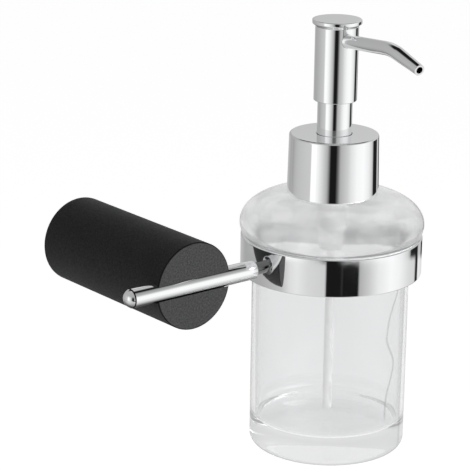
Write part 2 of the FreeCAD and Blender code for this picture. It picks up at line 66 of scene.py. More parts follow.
def box_middle(node):
    """Middle point of a CAD node's box."""
    low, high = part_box(node)
    return (low + high) / 2


BOTTLE_AXIS = Vector((box_middle("ring_band").x, box_middle("ring_band").y, 0))
ROD_AXIS = Vector((0, box_middle("cross_rod").y, 0))


def low_z(node):
    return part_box(node)[0].z


def high_z(node):
    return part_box(node)[1].z


def half_width(node):
    """Largest radius of a node turned about an upright axis."""
    low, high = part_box(node)
    return (high.x - low.x) / 2


# ---------------------------------------------------------------- modelling by hand, as functions


def clear_selection():
    """Leave edit mode and select nothing."""
    if bpy.context.object and bpy.context.object.mode != "OBJECT":
        bpy.ops.object.mode_set(mode="OBJECT")
    bpy.ops.object.select_all(action="DESELECT")


def pick(piece):
    """Make one piece the only selected and the active one."""
    clear_selection()
    piece.select_set(True)
    bpy.context.view_layer.objects.active = piece


def select_in_edit(piece, edge_test):
    """In edit mode, select just the edges that pass a test on their two ends."""
    bpy.ops.mesh.select_mode(type="EDGE")
    bpy.ops.mesh.select_all(action="DESELECT")
    mesh = bmesh.from_edit_mesh(piece.data)
    for edge in mesh.edges:
        edge.select_set(edge_test(edge.verts[0].co, edge.verts[1].co))
    mesh.select_flush_mode()
    bmesh.update_edit_mesh(piece.data)


def on_ring(radius, height):
    """Test for the edges of one ring about Z."""
    def test(a, b):
        return all(abs(p.xy.length - radius) < 2 * SAME_PLACE
                   and abs(p.z - height) < 2 * SAME_PLACE for p in (a, b))
    return test


def turned(name, steps, sides=ROUND_SIDES):
    """Turn a piece about Z: a ring is pulled through (radius, height, ease) steps.

    Starting at radius 0 gives a first face on the axis, and a later 0 closes the ring to a point.
    Ending on the first step closes the outline. The ease rounds the corner there.
    """
    clear_selection()
    from_axis = steps[0][0] == 0
    rest = steps[1:] if from_axis else steps
    radius, height = rest[0][:2]
    bpy.ops.mesh.primitive_circle_add(vertices=sides, radius=radius,
                                      fill_type="TRIFAN" if from_axis else "NOTHING")
    piece = bpy.context.object
    piece.name = piece.data.name = name
    bpy.ops.object.mode_set(mode="EDIT")
    bpy.ops.mesh.select_all(action="SELECT")
    bpy.ops.transform.translate(value=(0, 0, height))
    if from_axis:
        mesh = bmesh.from_edit_mesh(piece.data)
        for vertex in mesh.verts:
            if vertex.co.xy.length < SAME_PLACE:
                vertex.co.z = steps[0][1]
        bmesh.update_edit_mesh(piece.data)
        select_in_edit(piece, on_ring(radius, height))
    pull_ring(radius, height, rest[1:])
    close_up(piece, steps)
    return piece


def pull_ring(radius, height, steps):
    """Extrude the selected ring through the steps."""
    for new_radius, new_height, *_ in steps:
        push((0, 0, new_height - height))
        height = new_height
        if new_radius == 0:
            bpy.ops.mesh.merge(type="CENTER")
            break
        scale = new_radius / radius
        bpy.ops.transform.resize(value=(scale, scale, 1), center_override=(0, 0, height))
        radius = new_radius


def push(move):
    """Extrude what is selected and move it."""
    bpy.ops.mesh.extrude_region_move(TRANSFORM_OT_translate={"value": move})


def shrink(old_radius, new_radius, centre):
    """Scale the selected ring from one radius to another."""
    scale = new_radius / old_radius
    bpy.ops.transform.resize(value=(scale,) * 3, center_override=centre)


def face_outwards():
    """Turn all faces of a closed mesh outwards and leave edit mode."""
    bpy.ops.mesh.select_all(action="SELECT")
    bpy.ops.mesh.normals_make_consistent(inside=False)
    bpy.ops.object.mode_set(mode="OBJECT")


def close_up(piece, steps):
    """Weld the outline's ends, round the corners that have an ease, and leave edit mode."""
    bpy.ops.mesh.select_all(action="SELECT")
    bpy.ops.mesh.remove_doubles(threshold=SAME_PLACE)
    for radius, height, *ease in steps:
        if ease:
            select_in_edit(piece, on_ring(radius, height))
            bpy.ops.mesh.bevel(offset=ease[0], segments=EASE_STEPS, affect="EDGES")
    face_outwards()


def settle(piece, place, turn=(0, 0, 0)):
    """Turn a piece and move it to its place, and keep both in its mesh."""
    pick(piece)
    piece.rotation_euler = turn
    piece.location = place
    bpy.ops.object.transform_apply(location=True, rotation=True, scale=True)


def cut_with(piece, cutter):
    """Cut one closed piece out of another and remove the cutter."""
    pick(piece)
    cut = piece.modifiers.new("Cut", "BOOLEAN")
    cut.operation = "DIFFERENCE"
    cut.solver = "EXACT"
    cut.object = cutter
    bpy.ops.object.modifier_apply(modifier=cut.name)
    bpy.data.objects.remove(cutter)


def drill(piece, radius, length, middle, turn, sides=INNER_SIDES):
    """Cut a round hole into a piece."""
    clear_selection()
    bpy.ops.mesh.primitive_cylinder_add(vertices=sides, radius=radius, depth=length,
                                        location=middle, rotation=turn)
    cutter = bpy.context.object
    bpy.ops.object.transform_apply(location=True, rotation=True, scale=True)
    cut_with(piece, cutter)


def finish_piece(piece, body, node, material):
    """Smooth shading, material, place in the moving model and the CAD node it stands for."""
    pick(piece)
    bpy.ops.object.shade_smooth_by_angle(angle=SMOOTH_ANGLE)
    weigh = piece.modifiers.new("Straight Sides", "WEIGHTED_NORMAL")
    weigh.keep_sharp = True
    bpy.ops.object.modifier_apply(modifier=weigh.name)
    piece.data.materials.clear()
    piece.data.materials.append(material)
    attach(piece, body)
    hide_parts(node)


def bend(start, start_handle, end_handle, end, count):
    """Points of a smooth outline run, without its first point."""
    corners = [Vector((r, z, 0)) for r, z in (start, start_handle, end_handle, end)]
    points = interpolate_bezier(*corners, count + 1)
    return [(p.x, p.y) for p in points[1:]]


def quarter_round(centre, radius, start_degrees, sweep, count):
    """Points of a round corner in an outline, without its first point."""
    angles = [math.radians(start_degrees + sweep * k / count) for k in range(1, count + 1)]
    return [(centre[0] + radius * math.cos(t), centre[1] + radius * math.sin(t)) for t in angles]


# ---------------------------------------------------------------- nodes


def grey(level):
    return (level, level, level, 1)


def feed(owner, socket, term):
    """Link a socket to another node's output, or set it to a plain value."""
    if isinstance(term, bpy.types.NodeSocket):
        owner.node_tree.links.new(term, socket)
    else:
        socket.default_value = term


def dress(owner, shader, terms):
    """Feed several inputs of a shader, by name."""
    for name, term in terms.items():
        feed(owner, shader.inputs[name], term)


def place_parts(owner, kind="Object"):
    """X, Y and Z of a texture coordinate."""
    place = owner.node_tree.nodes.new("ShaderNodeTexCoord")
    parts = owner.node_tree.nodes.new("ShaderNodeSeparateXYZ")
    feed(owner, parts.inputs["Vector"], place.outputs[kind])
    return parts.outputs["X"], parts.outputs["Y"], parts.outputs["Z"]


def arithmetic(owner, operation, *terms):
    """Math node on sockets or plain numbers."""
    node = owner.node_tree.nodes.new("ShaderNodeMath")
    node.operation = operation
    for socket, term in zip(node.inputs, terms):
        feed(owner, socket, term)
    return node.outputs[0]


def product(owner, first, second):
    return arithmetic(owner, "MULTIPLY", first, second)


def reach(owner, first, second):
    """Distance from an axis, from the two coordinates across it."""
    squares = arithmetic(owner, "ADD", product(owner, first, first),
                         product(owner, second, second))
    return arithmetic(owner, "SQRT", squares)


def mixed(owner, amount, first, second):
    """Blend of two colours."""
    node = owner.node_tree.nodes.new("ShaderNodeMixRGB")
    dress(owner, node, {"Fac": amount, "Color1": first, "Color2": second})
    return node.outputs["Color"]


def spread(owner, value, low, high, start=0.3, end=0.7, smooth=False):
    """Carry the part of a value from start to end over to the range from low to high."""
    node = owner.node_tree.nodes.new("ShaderNodeMapRange")
    node.interpolation_type = "SMOOTHSTEP" if smooth else "LINEAR"
    dress(owner, node, {"Value": value, "From Min": start, "From Max": end,
                        "To Min": low, "To Max": high})
    return node.outputs["Result"]


def ramp(owner, value, stops, interpolation="LINEAR"):
    """Colour ramp from (position, colour) stops."""
    node = owner.node_tree.nodes.new("ShaderNodeValToRGB")
    node.color_ramp.interpolation = interpolation
    elements = node.color_ramp.elements
    for k, (position, colour) in enumerate(stops):
        element = elements[k] if k < 2 else elements.new(position)
        element.position = position
        element.color = colour
    feed(owner, node.inputs["Fac"], value)
    return node.outputs["Color"]


def two_tone(material, value, dark, light):
    """Colour between two tones, by a pattern."""
    return ramp(material, value, [(0.3, (*dark, 1)), (0.7, (*light, 1))])


def noise(material, scale, detail=4.0, roughness=0.55, stretch=(1, 1, 1)):
    """Noise pattern on Object coordinates; stretch squeezes it along an axis."""
    nodes = material.node_tree.nodes
    place = nodes.new("ShaderNodeTexCoord")
    mapping = nodes.new("ShaderNodeMapping")
    pattern = nodes.new("ShaderNodeTexNoise")
    dress(material, mapping, {"Vector": place.outputs["Object"], "Scale": stretch})
    dress(material, pattern, {"Vector": mapping.outputs["Vector"], "Scale": scale,
                              "Detail": detail, "Roughness": roughness})
    return pattern.outputs["Fac"]


def bump(material, value, height, strength=1.0):
    """Fine relief from a pattern; height in metres."""
    node = material.node_tree.nodes.new("ShaderNodeBump")
    dress(material, node, {"Height": value, "Distance": height, "Strength": strength})
    return node.outputs["Normal"]


def new_material(name):
    """A material and its Principled shader, which is None once the material is there."""
    material = bpy.data.materials.get(name)
    if material:
        return material, None
    material = bpy.data.materials.new(name)
    material.use_nodes = True
    return material, material.node_tree.nodes["Principled BSDF"]


# ---------------------------------------------------------------- materials


def chrome(name="polished_chrome", shade=1.0):
    """Polished chrome plate with faint wipe marks and a trace of orange peel; shade below 1
    darkens its tone as painted shade.
    """
    material, shader = new_material(name)
    if shader is None:
        return material
    tone = Vector(bpy.context.scene.soap_finishes.chrome_tone) * shade
    wipes = noise(material, 90, detail=6)
    dress(material, shader, {
        "Base Color": two_tone(material, wipes, tone * 0.985, tone),
        "Roughness": spread(material, wipes, 0.018, 0.04),
        "Normal": bump(material, noise(material, 260, detail=1), 0.0015 * MM),
        "Metallic": 1.0,
    })
    return material


def rod_chrome():
    """Chrome of the rod and its cap, with painted shade underneath and a painted shadow line in
    the thin seam between the two.
    """
    material = chrome("rod_chrome")
    shader = material.node_tree.nodes["Principled BSDF"]
    along, _, height = place_parts(material)
    seam, half_seam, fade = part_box("cross_rod")[0].x, 0.2 * MM, 0.12 * MM
    # Painted shadow: a near-black line round the joint between rod and cap.
    painted_seam_shadow = product(
        material,
        spread(material, along, 0, 1, seam - half_seam - fade, seam - half_seam),
        spread(material, along, 1, 0, seam + half_seam, seam + half_seam + fade))
    # Painted shade: below the axis the plate darkens towards grey 0.22, as if in shadow.
    painted_shade_below = spread(material, height, 0, 1, -0.6 * MM, -2.5 * MM)
    plate = shader.inputs["Base Color"].links[0].from_socket
    painted_shade_plate = mixed(material, painted_shade_below, plate, grey(0.22))
    feed(material, shader.inputs["Base Color"], mixed(material, painted_seam_shadow, painted_shade_plate, grey(0.012)))
    return material


def black_coat():
    """Matt black powder coat with a fine grain, darkened nearly to black round the rounded front
    edge.
    """
    material, shader = new_material("black_powder_coat")
    if shader is None:
        return material
    tone = Vector(bpy.context.scene.soap_finishes.coat_tone)
    grain = noise(material, 1300, detail=4, roughness=0.7)
    speckle = two_tone(material, grain, tone * 0.5, tone * 1.6)
    across, along, height = place_parts(material)
    low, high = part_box("post_shell")
    # The rim and front masks darken the rounded front edge nearly to black.
    rim = spread(material, reach(material, across, height), 0, 1,
                 high.x - 0.55 * MM, high.x - 0.35 * MM)
    front = spread(material, along, 1, 0, low.y + 0.2 * MM, low.y + 0.6 * MM)
    dress(material, shader, {
        "Base Color": mixed(material, product(material, rim, front), speckle, grey(0.004)),
        "Roughness": spread(material, noise(material, 60, detail=3), 0.52, 0.6),
        "Normal": bump(material, grain, 0.08 * MM),
        "Specular IOR Level": 0.12,
    })
    return material


# Heights in millimetres and angles round the bottle's axis in degrees.
FLOW_LINE = [
    (-68, -84), (-60, -84), (-54, -82), (-48, -78), (-41, -76.5), (-33, -83.5), (-27, -84),
    (-20, -81), (-15, -76.5), (-6, -70),
]
FLOW_LINE_START, FLOW_LINE_SPAN = -90, 30


def flow_line(material, x, y, z):
    """Mask of the thin wavy line that runs down one side of the glass body's outside."""
    low, high = FLOW_LINE[0][0], FLOW_LINE[-1][0]
    path = ramp(material, spread(material, z, 0, 1, low * MM, high * MM), [
        ((height - low) / (high - low), grey((angle - FLOW_LINE_START) / FLOW_LINE_SPAN))
        for height, angle in FLOW_LINE], "CARDINAL")
    wanted = arithmetic(material, "MULTIPLY_ADD", path, FLOW_LINE_SPAN, FLOW_LINE_START)
    across = arithmetic(material, "SUBTRACT", x, BOTTLE_AXIS.x)
    deep = arithmetic(material, "SUBTRACT", y, BOTTLE_AXIS.y)
    angle = arithmetic(material, "DEGREES", arithmetic(material, "ARCTAN2", deep, across))
    off = arithmetic(material, "ABSOLUTE", arithmetic(material, "SUBTRACT", angle, wanted))
    line = spread(material, off, 1, 0, 0.3, 1.6)
    outside = bpy.context.scene.soap_bottle.body_radius
    skin = spread(material, reach(material, across, deep), 0, 1,
                  outside - 0.55 * MM, outside - 0.25 * MM)
    start = spread(material, z, 0, 1, low * MM, (low + 4) * MM)
    end = spread(material, z, 1, 0, (high - 3) * MM, high * MM)
    return product(material, product(material, line, skin), product(material, start, end))


def clear_glass():
    """Clear pressed glass with faint flow waves, paler and rougher in the shoulder, grey in the
    base, with a painted glow over the shoulder and the base.
    """
    material, shader = new_material("pressed_glass")
    if shader is None:
        return material
    x, y, z = place_parts(material)
    waves = noise(material, 45, detail=1, stretch=(1, 1, 0.6))
    swirls = noise(material, 70, detail=2, roughness=0.4, stretch=(1, 1, 3))
    base = spread(material, z, 0, 1, -72.5 * MM, -73.5 * MM)
    tint = two_tone(material, waves, (0.872, 0.877, 0.879), (0.887, 0.891, 0.893))
    tint = mixed(material, spread(material, z, 0, 1, 8 * MM, 16 * MM), tint,
                 (0.955, 0.958, 0.96, 1))
    tint = mixed(material, base, tint, (0.77, 0.774, 0.776, 1))
    tint = mixed(material, flow_line(material, x, y, z), tint, (0.5, 0.502, 0.504, 1))
    # Painted glow: emission in swirls over the shoulder, and a faint even emission in the base.
    painted_shoulder_glow = product(material, spread(material, swirls, 0.01, 0.09, 0.38, 0.64),
                   spread(material, z, 0, 1, 9 * MM, 17 * MM))
    dress(material, shader, {
        "Base Color": tint,
        "Roughness": spread(material, z, 0.008, 0.2, 6 * MM, 16 * MM),
        "Normal": bump(material, waves, MM, spread(material, z, 0.06, 0.5, 8 * MM, 18 * MM)),
        "Emission Color": grey(1),
        "Emission Strength": arithmetic(material, "MULTIPLY_ADD", base, 0.01, painted_shoulder_glow),
        "Transmission Weight": 1.0,
        "IOR": 1.31,
    })
    lay_painted_glow(material, shader, z)
    return material


def lay_painted_glow(material, shader, z):
    """Mix a painted glow over the glass: an emission in folds in the shoulder and an even one in
    the base.
    """
    nodes = material.node_tree.nodes
    folds = noise(material, 95, detail=1, roughness=0.4, stretch=(1, 1, 2.4))
    shoulder = two_tone(material, spread(material, folds, 0, 1, 0.46, 0.56),
                        (0.52, 0.523, 0.526), (0.68, 0.683, 0.686))
    base = spread(material, z, 0, 1, -66 * MM, -71 * MM)
    # Painted glow: an emission shader, not a real frosting of the glass.
    painted_glow_emission = nodes.new("ShaderNodeEmission")
    feed(material, painted_glow_emission.inputs["Color"],
         mixed(material, base, shoulder, (0.85, 0.853, 0.856, 1)))
    blend = nodes.new("ShaderNodeMixShader")
    in_shoulder = spread(material, z, 0, 0.24, 6 * MM, 10 * MM)
    feed(material, blend.inputs["Fac"],
         arithmetic(material, "MULTIPLY_ADD", base, 0.16, in_shoulder))
    feed(material, blend.inputs[1], shader.outputs[0])
    feed(material, blend.inputs[2], painted_glow_emission.outputs[0])
    surface = next(node for node in nodes if node.type == "OUTPUT_MATERIAL")
    feed(material, surface.inputs["Surface"], blend.outputs[0])


def clear_plastic():
    """Clear moulded lining, a little hazy, with a faint painted glow."""
    material, shader = new_material("liner_plastic")
    if shader is None:
        return material
    haze = noise(material, 180, detail=4)
    dress(material, shader, {
        "Base Color": two_tone(material, haze, (0.9, 0.905, 0.91), (0.95, 0.953, 0.955)),
        "Roughness": spread(material, haze, 0.08, 0.16),
        "Transmission Weight": 0.2,
        "IOR": 1.46,
        # Painted glow: a faint emission that lightens the lining.
        "Emission Color": grey(1),
        "Emission Strength": 0.05,
    })
    return material


def milky_plastic(name="barrel_plastic", tone=0.63, glow=0.18):
    """Thin milky pump plastic with a painted glow, standing in for light coming through it from
    all sides.
    """
    material, shader = new_material(name)
    if shader is None:
        return material
    mottle = noise(material, 150, detail=3)
    dress(material, shader, {
        "Base Color": two_tone(material, mottle, (tone * 0.95,) * 3, (tone * 1.05,) * 3),
        "Roughness": spread(material, mottle, 0.3, 0.4),
        "Emission Color": grey(1),
        # Painted glow: emission that lightens the plastic.
        "Emission Strength": spread(material, mottle, glow * 0.96, glow * 1.04),
    })
    return material


def mottled(name, pattern, tones, roughness, relief, metallic=0.0):
    """A solid finish that varies a little in tone, gloss and relief by one noise pattern."""
    material, shader = new_material(name)
    if shader is None:
        return material
    mottle = noise(material, **pattern)
    dress(material, shader, {
        "Base Color": two_tone(material, mottle, *tones),
        "Roughness": spread(material, mottle, *roughness),
        "Normal": bump(material, mottle, relief),
        "Metallic": metallic,
    })
    return material


def white_plastic():
    """White moulded plastic of the hidden cap and bushes."""
    return mottled("cap_plastic", {"scale": 400}, [(0.74, 0.74, 0.73), (0.82, 0.82, 0.81)],
                   (0.4, 0.5), 0.01 * MM)


def seal_rubber():
    """Soft pale rubber."""
    return mottled("soft_rubber", {"scale": 900}, [(0.5, 0.5, 0.48), (0.62, 0.62, 0.6)],
                   (0.6, 0.75), 0.02 * MM)


def screw_steel():
    """Stainless steel with fine turning marks."""
    return mottled("turned_steel", {"scale": 1500, "detail": 2, "stretch": (1, 1, 0.15)},
                   [(0.5, 0.5, 0.51), (0.62, 0.62, 0.63)], (0.22, 0.36), 0.008 * MM, 1.0)


def cast_metal():
    """Plain cast metal of the bracket, slightly pitted."""
    return mottled("cast_metal", {"scale": 1100, "detail": 5},
                   [(0.42, 0.43, 0.44), (0.56, 0.57, 0.58)], (0.38, 0.55), 0.03 * MM, 1.0)


# ---------------------------------------------------------------- sizes and colours


class SoapHolderSizes(bpy.types.PropertyGroup):
    """Post, rod and ring."""

    post_edge: bpy.props.FloatProperty(
        name="Post edge", description="Softening of the post's front edge",
        default=0.35 * MM, subtype="DISTANCE", unit="LENGTH")
    socket_radius: bpy.props.FloatProperty(
        name="Socket radius", description="Radius of the post's socket for the bracket",
        default=15.8 * MM, subtype="DISTANCE", unit="LENGTH")
    socket_depth: bpy.props.FloatProperty(
        name="Socket depth", description="Depth of the post's socket for the bracket",
        default=12 * MM, subtype="DISTANCE", unit="LENGTH")
    hollow_radius: bpy.props.FloatProperty(
        name="Hollow radius", description="Radius of the hollow beyond the socket",
        default=13.6 * MM, subtype="DISTANCE", unit="LENGTH")
    web: bpy.props.FloatProperty(
        name="Front web", description="Thickness of the post's solid front end",
        default=12 * MM, subtype="DISTANCE", unit="LENGTH")
    rod_edge: bpy.props.FloatProperty(
        name="Rod chamfer", description="Chamfer of the rod at the ring's end",
        default=0.3 * MM, subtype="DISTANCE", unit="LENGTH")
    ring_wall: bpy.props.FloatProperty(
        name="Ring wall", description="Thickness of the chrome ring",
        default=2.25 * MM, subtype="DISTANCE", unit="LENGTH")
    ring_edge: bpy.props.FloatProperty(
        name="Ring edge", description="Softening of the ring's outer edges",
        default=0.45 * MM, subtype="DISTANCE", unit="LENGTH")


class SoapBottleSizes(bpy.types.PropertyGroup):
    """Glass bottle."""

    body_radius: bpy.props.FloatProperty(
        name="Body radius", description="Outer radius of the straight glass body",
        default=33.15 * MM, subtype="DISTANCE", unit="LENGTH")
    wall: bpy.props.FloatProperty(
        name="Glass wall", description="Thickness of the glass wall",
        default=2.85 * MM, subtype="DISTANCE", unit="LENGTH")
    base: bpy.props.FloatProperty(
        name="Glass base", description="Thickness of the heavy base",
        default=12 * MM, subtype="DISTANCE", unit="LENGTH")
    neck_radius: bpy.props.FloatProperty(
        name="Neck radius", description="Outer radius of the neck under the screw cap",
        default=14 * MM, subtype="DISTANCE", unit="LENGTH")
    neck_bore: bpy.props.FloatProperty(
        name="Neck bore", description="Inner radius of the neck",
        default=11.5 * MM, subtype="DISTANCE", unit="LENGTH")


class SoapPumpSizes(bpy.types.PropertyGroup):
    """Collar, sleeve, head and spout."""

    collar_edge: bpy.props.FloatProperty(
        name="Collar edge", description="Rounding of the collar's top edge",
        default=0.9 * MM, subtype="DISTANCE", unit="LENGTH")
    sleeve_radius: bpy.props.FloatProperty(
        name="Sleeve radius", description="Outer radius of the guide sleeve",
        default=7.25 * MM, subtype="DISTANCE", unit="LENGTH")
    head_radius: bpy.props.FloatProperty(
        name="Head radius", description="Outer radius of the push-down head",
        default=9 * MM, subtype="DISTANCE", unit="LENGTH")
    lip_radius: bpy.props.FloatProperty(
        name="Lip radius", description="Radius of the head's wider top",
        default=10.25 * MM, subtype="DISTANCE", unit="LENGTH")
    lip_height: bpy.props.FloatProperty(
        name="Lip height", description="Height of the wider top's upright side",
        default=1.7 * MM, subtype="DISTANCE", unit="LENGTH")
    spout_radius: bpy.props.FloatProperty(
        name="Spout radius", description="Outer radius of the spout at its root",
        default=2.8 * MM, subtype="DISTANCE", unit="LENGTH")
    tip_radius: bpy.props.FloatProperty(
        name="Tip radius", description="Outer radius of the spout at its tip",
        default=2.2 * MM, subtype="DISTANCE", unit="LENGTH")
    bore_radius: bpy.props.FloatProperty(
        name="Bore radius", description="Radius of the spout's bore",
        default=1.4 * MM, subtype="DISTANCE", unit="LENGTH")
    spout_turn: bpy.props.FloatProperty(
        name="Spout turn", description="Turn of the spout from straight out of the wall",
        default=math.radians(-10), subtype="ANGLE", unit="ROTATION")
    spout_rise: bpy.props.FloatProperty(
        name="Spout rise", description="Rise of the spout's first run",
        default=math.radians(5.7), subtype="ANGLE", unit="ROTATION")
    spout_drop: bpy.props.FloatProperty(
        name="Spout drop", description="Fall of the spout's end run",
        default=math.radians(12.5), subtype="ANGLE", unit="ROTATION")


class SoapFinishes(bpy.types.PropertyGroup):
    """Colours."""

    chrome_tone: bpy.props.FloatVectorProperty(
        name="Chrome", description="Tone of the chrome plate", size=3,
        default=(0.93, 0.935, 0.94), min=0, max=1, subtype="COLOR")
    coat_tone: bpy.props.FloatVectorProperty(
        name="Black coat", description="Tone of the powder coat", size=3,
        default=(0.038, 0.038, 0.039), min=0, max=1, subtype="COLOR")
    floor_tone: bpy.props.FloatVectorProperty(
        name="Floor", description="Tone of the floor", size=3,
        default=(0.4, 0.4, 0.4), min=0, max=1, subtype="COLOR")


# ---------------------------------------------------------------- pieces


class SOAP_OT_post(bpy.types.Operator):
    """Add the round black post with its socket, rod hole and grub screw hole"""

    bl_idname = "soap.add_post"
    bl_label = "Post"

    def execute(self, context):
        sizes = context.scene.soap_holder
        low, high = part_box("post_shell")
        radius, length = high.x, high.y - low.y
        socket, depth = sizes.socket_radius, sizes.socket_depth
        hollow, floor = sizes.hollow_radius, length - sizes.web
        back_edge = 0.3 * MM
        post = turned("post", [
            (0, floor), (hollow, floor), (hollow, depth), (socket, depth, back_edge),
            (socket, 0, back_edge), (radius, 0, back_edge), (radius, length * 0.3),
            (radius, length * 0.6), (radius, floor + 2 * MM), (radius, length, sizes.post_edge),
            (radius * 0.9, length), (0, length),
        ])
        settle(post, (0, 0, 0), (math.radians(90), 0, 0))
        rod_gap, rod_sag = 0.22 * MM, 0.17 * MM
        drill(post, high_z("cross_rod") + rod_gap, 3 * radius,
              ROD_AXIS - Vector((0, 0, rod_sag)), ALONG_X)
        screw = box_middle("post_grub_screw")
        drill(post, SCREW_HOLE, 6 * MM, (0, screw.y, -radius), (0, 0, 0), SCREW_SIDES)
        finish_piece(post, "wall_holder", "post_shell", black_coat())
        return {"FINISHED"}


class SOAP_OT_rod(bpy.types.Operator):
    """Add the chrome rod, its domed cap and the thin neck to the ring"""

    bl_idname = "soap.add_rod"
    bl_label = "Rod"

    def execute(self, context):
        sizes = context.scene.soap_holder
        low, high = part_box("cross_rod")
        radius, line = high.z, 0.12 * MM
        socket, socket_end = 2.53 * MM, low.x + 6.5 * MM
        tap_end = high.x - 10 * MM
        rod = turned("cross_rod_chrome", [
            (0, socket_end), (socket, socket_end), (socket, low.x),
            (radius - line, low.x), (radius, low.x + line), (radius, high.x, sizes.rod_edge),
            (SCREW_HOLE, high.x), (SCREW_HOLE, tap_end), (0, tap_end),
        ])
        settle(rod, ROD_AXIS, ALONG_X)
        plating = rod_chrome()
        finish_piece(rod, "wall_holder", "cross_rod", plating)

        cap_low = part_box("rod_end_cap")[0].x
        height = low.x - cap_low
        rim = radius - line
        sphere = (rim ** 2 + height ** 2) / (2 * height)
        span = math.degrees(math.asin(rim / sphere))
        dome = quarter_round((0, cap_low + sphere), sphere, -90 + span, -span, 14)[:-1]
        spigot, spigot_end = 2.5 * MM, low.x + 6 * MM
        cap = turned("rod_end_cap_chrome", [
            (0, spigot_end), (spigot, spigot_end), (spigot, low.x), (rim, low.x), *dome,
            (0, cap_low),
        ])
        settle(cap, ROD_AXIS, ALONG_X)
        finish_piece(cap, "wall_holder", "rod_end_cap", plating)

        low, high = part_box("neck_spacer")
        neck = turned("neck_spacer_chrome", [
            (SCREW_HOLE, low.x), (high.z, low.x, 0.15 * MM), (high.z, high.x),
            (SCREW_HOLE, high.x), (SCREW_HOLE, low.x),
        ], sides=INNER_SIDES)
        settle(neck, ROD_AXIS, ALONG_X)
        # The neck's chrome is darkened to 0.3 of the plate's tone: a painted dark reflection of
        # the black post.
        finish_piece(neck, "wall_holder", "neck_spacer", chrome("neck_chrome_painted_dark", 0.3))
        return {"FINISHED"}


class SOAP_OT_ring(bpy.types.Operator):
    """Add the chrome ring and its clear lining"""

    bl_idname = "soap.add_ring"
    bl_label = "Ring"

    def execute(self, context):
        sizes = context.scene.soap_holder
        outer = half_width("ring_band")
        inner = outer - sizes.ring_wall
        low, high = low_z("ring_band"), high_z("ring_band")
        ring = turned("ring_band_chrome", [
            (inner, low, 0.15 * MM), (outer, low, sizes.ring_edge),
            (outer, high, sizes.ring_edge), (inner, high, 0.15 * MM), (inner, low),
        ], sides=GLASS_SIDES)
        settle(ring, BOTTLE_AXIS)
        drill(ring, SCREW_HOLE, 6 * MM, BOTTLE_AXIS - Vector((outer, 0, 0)), ALONG_X,
              SCREW_SIDES)
        finish_piece(ring, "wall_holder", "ring_band", chrome())

        flange = half_width("ring_liner")
        gap, wall, taper = 0.1 * MM, 2.3 * MM, 0.6 * MM
        sleeve = inner - gap
        bore = sleeve - wall
        foot, top = low_z("ring_liner"), high_z("ring_liner")
        liner = turned("ring_liner_clear", [
            (bore, foot, 0.3 * MM), (sleeve, foot, 0.2 * MM), (sleeve, high),
            (flange, high), (flange, top, 0.12 * MM), (bore + taper, top, 0.2 * MM),
            (bore, high - 0.4 * MM), (bore, foot),
        ], sides=GLASS_SIDES)
        settle(liner, BOTTLE_AXIS)
        finish_piece(liner, "wall_holder", "ring_liner", clear_plastic())
        return {"FINISHED"}


class SOAP_OT_bottle(bpy.types.Operator):
    """Add the glass bottle as one closed shell, outside and inside"""

    bl_idname = "soap.add_bottle"
    bl_label = "Bottle"

    def execute(self, context):
        sizes = context.scene.soap_bottle
        bulge = half_width("glass_bottle")
        bottom, top = low_z("glass_bottle"), high_z("glass_bottle")
        foot = high_z("ring_liner")
        shoulder = low_z("collar_shell") - 0.35 * MM
        body, wall = sizes.body_radius, sizes.wall
        neck, bore = sizes.neck_radius, sizes.neck_bore
        outline = []

        # Underside, hollowed a little, and the rounded corner up to the straight side.
        corner, hollow = 3.5 * MM, bottom + 1.0 * MM
        outline += [(0, hollow)]
        outline += bend((0, hollow), (12 * MM, hollow), (20 * MM, bottom), (26 * MM, bottom), 10)
        outline += [(body - corner, bottom)]
        outline += quarter_round((body - corner, bottom + corner), corner, -90, 90, 10)
        outline += [(body, foot - 40 * MM), (body, foot - 1.2 * MM)]

        # Step out over the ring, then the domed shoulder and the plain neck.
        root, heel = 1.2 * MM, 0.4 * MM
        foot_edge, belly = bulge - 0.9 * MM, foot + 4.5 * MM
        crest = 19.2 * MM
        outline += quarter_round((body + root, foot - root), root, 180, -90, 5)
        outline += [(foot_edge - heel, foot)]
        outline += quarter_round((foot_edge - heel, foot + heel), heel, -90, 90, 4)
        outline += bend((foot_edge, foot + heel), (foot_edge + 0.2 * MM, foot + 1.6 * MM),
                        (bulge, belly - 2 * MM), (bulge, belly), 6)
        outline += bend((bulge, belly), (bulge, belly + 6.0 * MM),
                        (31.8 * MM, shoulder - 1.0 * MM), (crest, shoulder), 26)
        outline += bend((crest, shoulder), (16.5 * MM, shoulder + 0.2 * MM),
                        (neck, shoulder + 0.2 * MM), (neck, shoulder + 2.0 * MM), 6)
        lip, inner_lip = 0.6 * MM, 0.4 * MM
        outline += [(neck, top - lip)]
        outline += quarter_round((neck - lip, top - lip), lip, 0, 90, 4)
        outline += [(bore + inner_lip, top), (bore, top - inner_lip), (bore, shoulder)]

        # Inside: under the shoulder, down the wall and round the floor of the heavy base.
        cavity, inner_bulge = body - wall, bulge - 3.4 * MM
        inner_shoulder = shoulder - 3.6 * MM
        inner_crest = (18.5 * MM, inner_shoulder - 0.3 * MM)
        outline += bend((bore, shoulder), (bore, inner_shoulder + 0.6 * MM),
                        (14 * MM, inner_shoulder), inner_crest, 8)
        outline += bend(inner_crest, (28 * MM, inner_shoulder - 1.2 * MM),
                        (inner_bulge, belly + 4.5 * MM), (inner_bulge, belly), 20)
        outline += bend((inner_bulge, belly), (inner_bulge, foot),
                        (cavity, foot - 1 * MM), (cavity, foot - 6.5 * MM), 14)
        floor, inner_corner = bottom + sizes.base, 2.5 * MM
        outline += [(cavity, foot - 40 * MM), (cavity, floor + inner_corner)]
        outline += quarter_round((cavity - inner_corner, floor + inner_corner), inner_corner,
                                 0, -90, 12)
        outline += [(12 * MM, floor - 0.15 * MM), (0, floor - 0.3 * MM)]
        bottle = turned("glass_bottle_clear", outline, sides=GLASS_SIDES)
        settle(bottle, BOTTLE_AXIS)
        finish_piece(bottle, "bottle", "glass_bottle", clear_glass())
        return {"FINISHED"}


